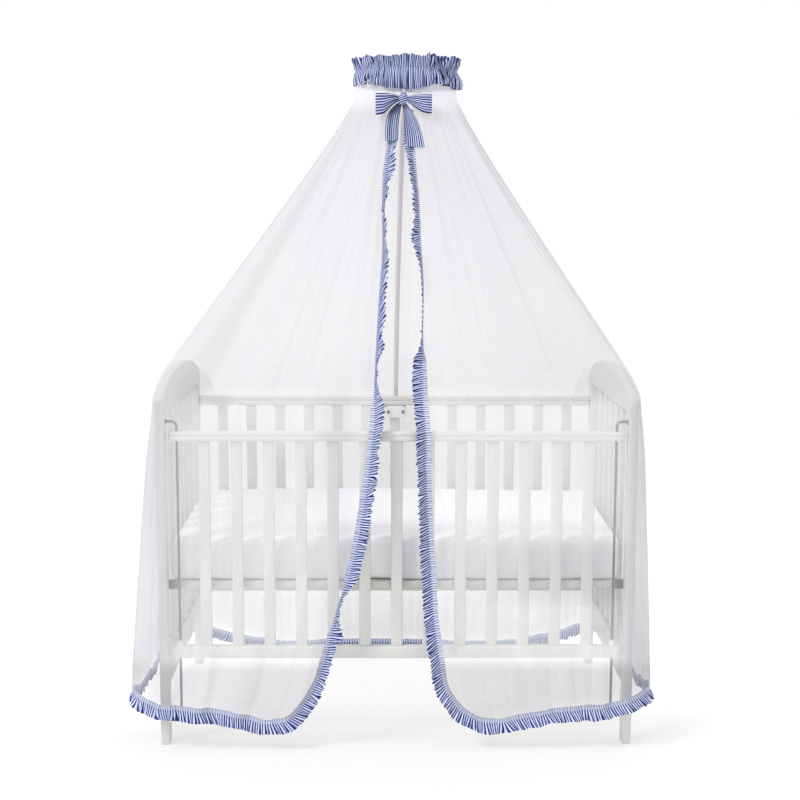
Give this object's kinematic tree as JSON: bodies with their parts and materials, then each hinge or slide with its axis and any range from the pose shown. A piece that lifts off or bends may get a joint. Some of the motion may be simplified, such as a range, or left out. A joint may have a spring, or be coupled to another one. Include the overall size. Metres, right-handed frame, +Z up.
{
  "type": "mosquito net canopy over a cot, with its canopy pole, mattress and cot",
  "caption": "Sheer net canopy gathered on a ring at a pole's top and open down the front, falling over a slatted cot with a mattress to a frilled hem.",
  "frame": {"origin": "on the floor under the middle of the cot, at the base of the bounding box", "axes": "+Z up; +X along the cot towards its right end seen from the open front; +Y from the open front to the back, where the pole stands"},
  "size_m": [1.4493, 0.8697, 1.9062],
  "materials": {
    "net_cloth": "sheer fine mesh",
    "striped_cotton": "matt cotton with fine blue and white stripes",
    "white_enamel": "smooth white",
    "dark_steel": "dark",
    "white_paint": "satin white paint",
    "white_sheet": "smooth white cotton"
  },
  "bodies": {
    "root": {"net": "net_cloth", "edge_frill": "striped_cotton", "heading_band": "striped_cotton", "bow_knot": "striped_cotton", "bow_loop_left": "striped_cotton", "bow_loop_right": "striped_cotton", "bow_tail_left": "striped_cotton", "bow_tail_right": "striped_cotton", "canopy_pole": "white_enamel", "holder_ring": "white_enamel", "clamp_plate": "white_enamel", "clamp_block": "white_enamel", "clamp_bolt_left": "dark_steel", "clamp_bolt_right": "dark_steel", "guide_rod_left": "dark_steel", "guide_rod_right": "dark_steel", "post_left_front": "white_paint", "post_left_back": "white_paint", "post_right_front": "white_paint", "post_right_back": "white_paint", "end_panel_left": "white_paint", "end_panel_right": "white_paint", "front_top_rail": "white_paint", "front_bottom_rail": "white_paint", "back_top_rail": "white_paint", "back_bottom_rail": "white_paint", "mattress_base": "white_paint", "front_slat_01": "white_paint", "front_slat_02": "white_paint", "front_slat_03": "white_paint", "front_slat_04": "white_paint", "front_slat_05": "white_paint", "front_slat_06": "white_paint", "front_slat_07": "white_paint", "front_slat_08": "white_paint", "front_slat_09": "white_paint", "front_slat_10": "white_paint", "front_slat_11": "white_paint", "front_slat_12": "white_paint", "front_slat_13": "white_paint", "back_slat_01": "white_paint", "back_slat_02": "white_paint", "back_slat_03": "white_paint", "back_slat_04": "white_paint", "back_slat_05": "white_paint", "back_slat_06": "white_paint", "back_slat_07": "white_paint", "back_slat_08": "white_paint", "back_slat_09": "white_paint", "back_slat_10": "white_paint", "back_slat_11": "white_paint", "back_slat_12": "white_paint", "back_slat_13": "white_paint", "mattress": "white_sheet"}
  },
  "joints": []
}
